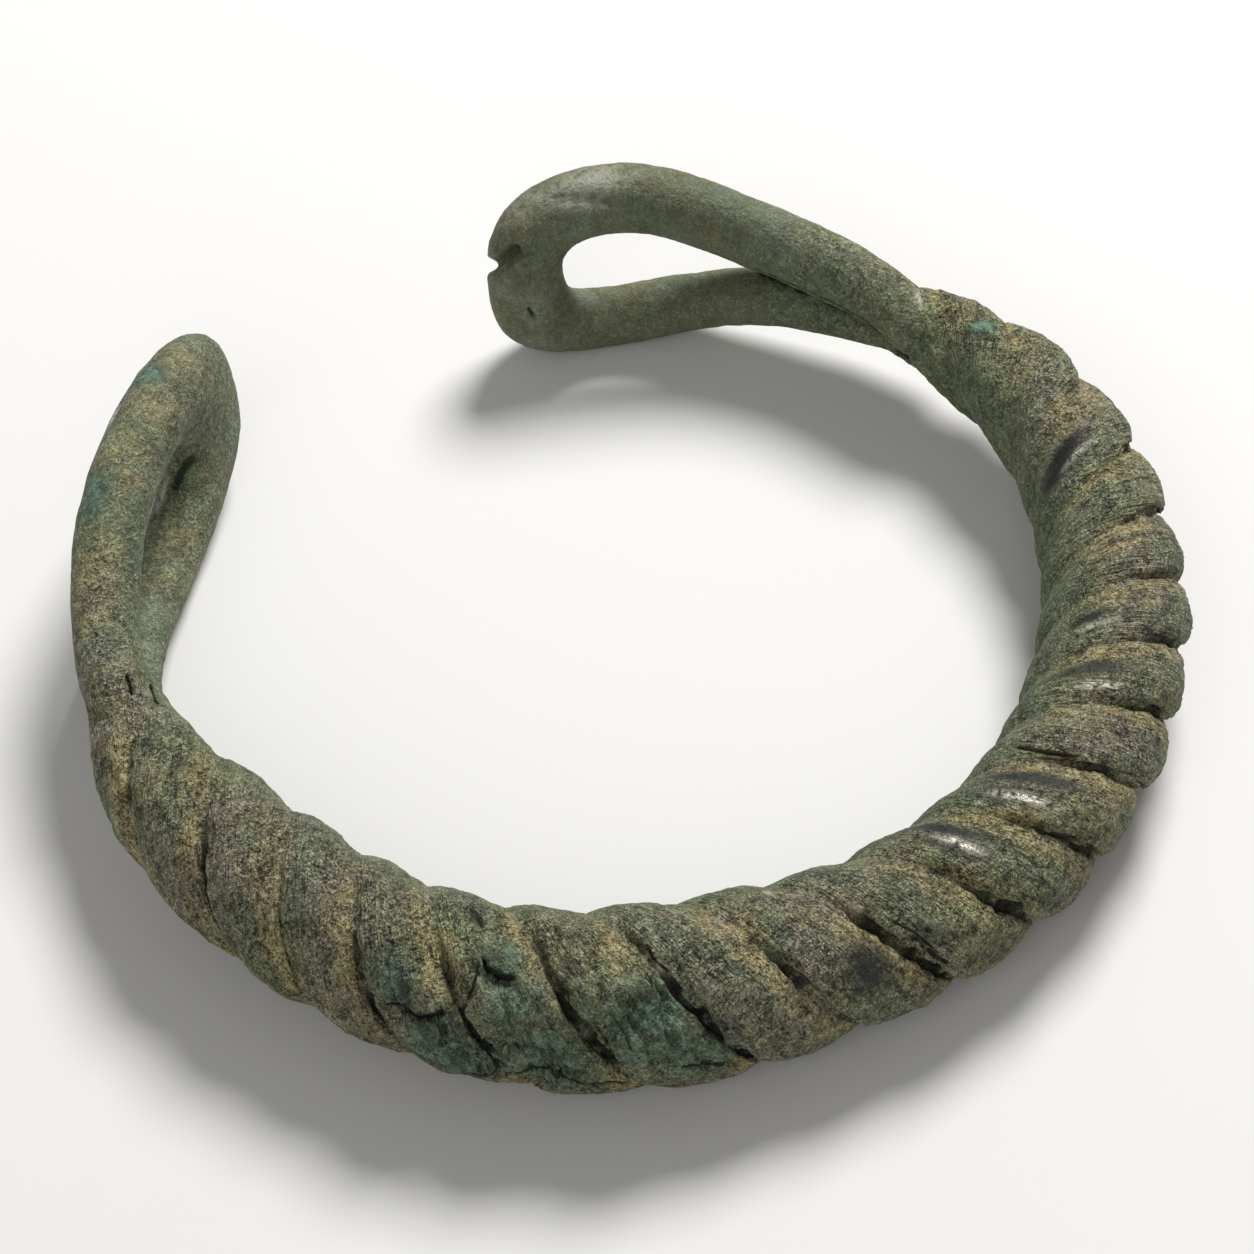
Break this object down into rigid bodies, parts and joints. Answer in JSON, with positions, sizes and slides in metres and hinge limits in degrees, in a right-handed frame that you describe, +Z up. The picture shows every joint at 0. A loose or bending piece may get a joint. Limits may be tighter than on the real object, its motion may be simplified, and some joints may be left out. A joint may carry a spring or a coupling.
{
  "type": "twisted bangle",
  "caption": "Open bronze bangle of twisted strands, thickest at the middle, with a flattened hairpin loop at each end, green and brown with patina.",
  "frame": {"origin": "middle of the box round the bangle, at the level of the surface it lies on", "axes": "+Z up through the ring, +Y towards the opening between the two loops, +X to the right of it"},
  "size_m": [0.0724, 0.0682, 0.0139],
  "materials": {
    "bronze_patina": "corroded bronze: dull olive and brown patina with ochre earth in the grooves, green verdigris and a few worn dark patches"
  },
  "bodies": {
    "root": {"twisted_bangle": "bronze_patina"}
  },
  "joints": []
}
